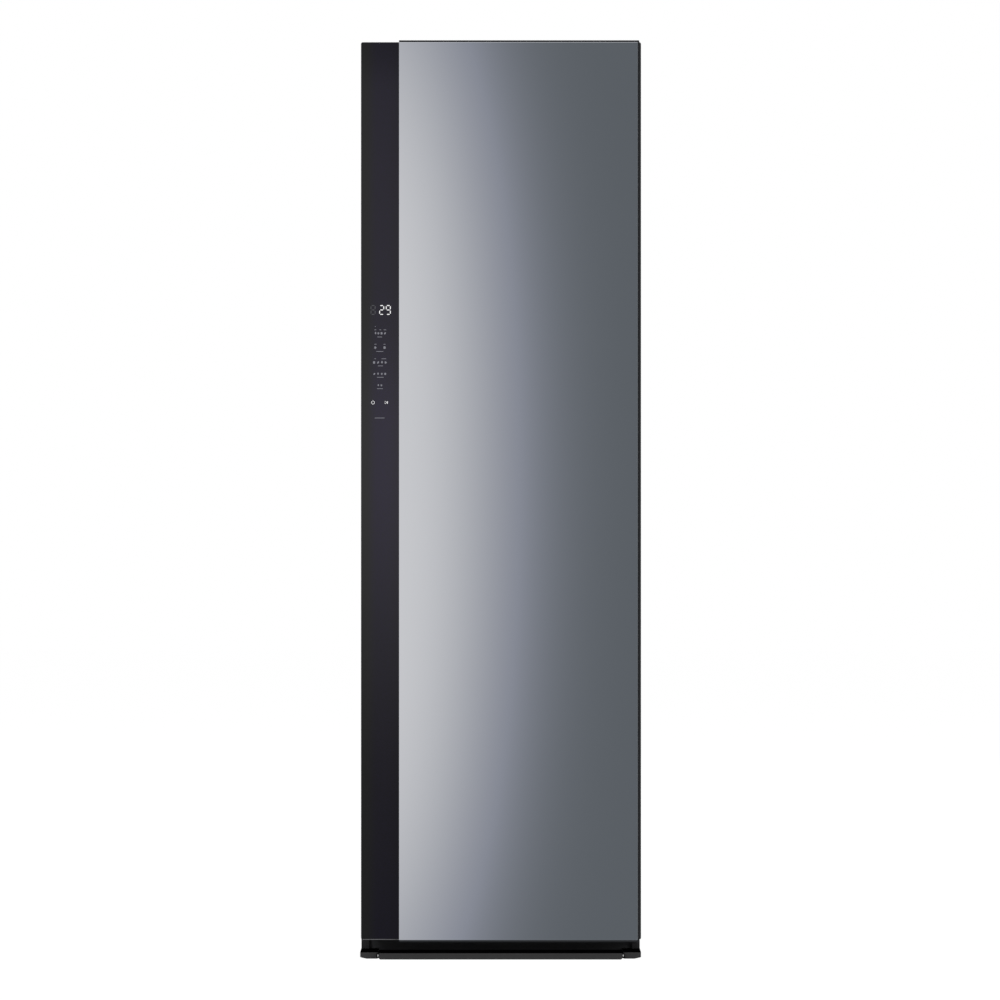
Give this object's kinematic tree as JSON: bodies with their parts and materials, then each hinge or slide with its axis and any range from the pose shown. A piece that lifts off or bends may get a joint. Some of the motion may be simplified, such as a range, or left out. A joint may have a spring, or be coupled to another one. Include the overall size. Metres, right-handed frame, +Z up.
{
  "type": "clothes care steam cabinet",
  "caption": "Tall cabinet that steams, dries and presses clothes, with a full-height mirrored door, a black glass control strip, a moving hanger bar, a trouser press and water tanks.",
  "frame": {"origin": "on the floor, under the middle of the cabinet", "axes": "+X to the right, +Y to the back, +Z up; the door faces -Y"},
  "size_m": [0.6, 0.596, 1.96],
  "materials": {
    "cabinet_paint": "satin",
    "mirror_glass": "polished",
    "control_glass": "gloss",
    "panel_trim": "satin",
    "zinc_steel": "satin",
    "frame_steel": "satin",
    "hinge_steel": "satin",
    "liner_plastic": "satin",
    "dark_plastic": "satin",
    "tank_plastic": "gloss",
    "cap_plastic": "satin",
    "white_plastic": "satin",
    "seal_rubber": "matte",
    "foot_plastic": "matte",
    "foam": "matte",
    "press_pad": "matte",
    "board": "satin",
    "bright_aluminium": "satin",
    "nozzle_chrome": "polished",
    "machine_steel": "satin",
    "pump_plastic": "satin",
    "hose_rubber": "matte",
    "pipe_copper": "satin"
  },
  "bodies": {
    "root": {"side_panel_left": "cabinet_paint", "side_panel_right": "cabinet_paint", "top_panel": "cabinet_paint", "back_panel": "zinc_steel", "rear_cover": "zinc_steel", "front_frame": "frame_steel", "base_pan": "zinc_steel", "chamber_liner": "liner_plastic", "chamber_floor": "liner_plastic", "insulation_panels": "foam", "tank_bay": "liner_plastic", "air_outlet_grille": "liner_plastic", "steam_nozzle": "nozzle_chrome", "drive_frame": "zinc_steel", "hanger_motor": "machine_steel", "top_hinge": "hinge_steel", "top_hinge_cover": "dark_plastic", "bottom_hinge": "hinge_steel", "plinth_tray": "dark_plastic", "plinth_front_bar": "dark_plastic", "plinth_corner_caps": "dark_plastic", "power_gland": "dark_plastic", "compressor": "machine_steel", "evaporator": "bright_aluminium", "condenser": "bright_aluminium", "blower_housing": "dark_plastic", "blower_motor": "machine_steel", "steam_generator": "bright_aluminium", "water_pumps": "pump_plastic", "control_box": "dark_plastic", "refrigerant_pipes": "pipe_copper", "water_hoses": "hose_rubber"},
    "door": {"door_shell": "cabinet_paint", "door_liner": "liner_plastic", "door_gasket": "seal_rubber", "door_foam": "foam", "control_glass": "control_glass", "display_board": "board", "panel_tray": "panel_trim", "mirror_backing": "foam", "mirror_glass": "mirror_glass", "door_hinge_bushes": "white_plastic", "press_mount": "press_pad"},
    "press": {"press_plate": "white_plastic"},
    "hanger": {"hanger_bar": "bright_aluminium", "hanger_arms": "bright_aluminium", "hanger_carriage": "bright_aluminium"},
    "crank": {"drive_crank": "machine_steel"},
    "blower": {"blower_wheel": "dark_plastic"},
    "supply": {"supply_tank": "tank_plastic"},
    "supply_lid": {"supply_cap": "cap_plastic"},
    "drain": {"drain_tank": "tank_plastic"},
    "drain_lid": {"drain_cap": "cap_plastic"},
    "filter": {"lint_filter": "dark_plastic"},
    "fragrance": {"fragrance_holder": "white_plastic"},
    "shelf_board": {"shelf": "white_plastic"},
    "foot_front_left": {"levelling_foot_front_left": "foot_plastic"},
    "foot_front_right": {"levelling_foot_front_right": "foot_plastic"},
    "foot_back_left": {"levelling_foot_back_left": "foot_plastic"},
    "foot_back_right": {"levelling_foot_back_right": "foot_plastic"}
  },
  "joints": [
    {"name": "door_swing", "type": "hinge", "parent": "root", "child": "door", "pos_m": [0.285, -0.24, 1], "axis": [0, 0, 1], "range_deg": [0, 110]},
    {"name": "press_swing", "type": "hinge", "parent": "door", "child": "press", "pos_m": [0.178, -0.207, 1.23], "axis": [0, 0, -1], "range_deg": [0, 90]},
    {"name": "hanger_slide", "type": "slide", "parent": "root", "child": "hanger", "axis": [1, 0, 0], "range_m": [-0.018, 0.018]},
    {"name": "crank_spin", "type": "hinge", "parent": "root", "child": "crank", "pos_m": [0, -0.013, 1.874], "axis": [0, 0, 1], "continuous": true},
    {"name": "blower_spin", "type": "hinge", "parent": "root", "child": "blower", "pos_m": [0.06, 0.18, 0.222], "axis": [0, 1, 0], "continuous": true},
    {"name": "supply_tank_slide", "type": "slide", "parent": "root", "child": "supply", "axis": [0, -1, 0], "range_m": [0, 0.044]},
    {"name": "supply_cap_turn", "type": "hinge", "parent": "supply", "child": "supply_lid", "pos_m": [-0.1215, -0.117, 0.34], "axis": [0, 0, 1], "range_deg": [0, 90]},
    {"name": "drain_tank_slide", "type": "slide", "parent": "root", "child": "drain", "axis": [0, -1, 0], "range_m": [0, 0.044]},
    {"name": "drain_cap_turn", "type": "hinge", "parent": "drain", "child": "drain_lid", "pos_m": [0.1215, -0.117, 0.34], "axis": [0, 0, 1], "range_deg": [0, 90]},
    {"name": "filter_lift", "type": "slide", "parent": "root", "child": "filter", "axis": [0, 0, 1], "range_m": [0, 0.12]},
    {"name": "fragrance_lift", "type": "slide", "parent": "root", "child": "fragrance", "axis": [0, 0, 1], "range_m": [0, 0.06]},
    {"name": "shelf_lift", "type": "slide", "parent": "root", "child": "shelf_board", "axis": [0, 0, 1], "range_m": [0, 0.08]},
    {"name": "foot_front_left_turn", "type": "hinge", "parent": "root", "child": "foot_front_left", "pos_m": [-0.254, -0.182, 0.02], "axis": [0, 0, 1], "continuous": true},
    {"name": "foot_front_right_turn", "type": "hinge", "parent": "root", "child": "foot_front_right", "pos_m": [0.254, -0.182, 0.02], "axis": [0, 0, 1], "continuous": true},
    {"name": "foot_back_left_turn", "type": "hinge", "parent": "root", "child": "foot_back_left", "pos_m": [-0.254, 0.258, 0.02], "axis": [0, 0, 1], "continuous": true},
    {"name": "foot_back_right_turn", "type": "hinge", "parent": "root", "child": "foot_back_right", "pos_m": [0.254, 0.258, 0.02], "axis": [0, 0, 1], "continuous": true}
  ]
}
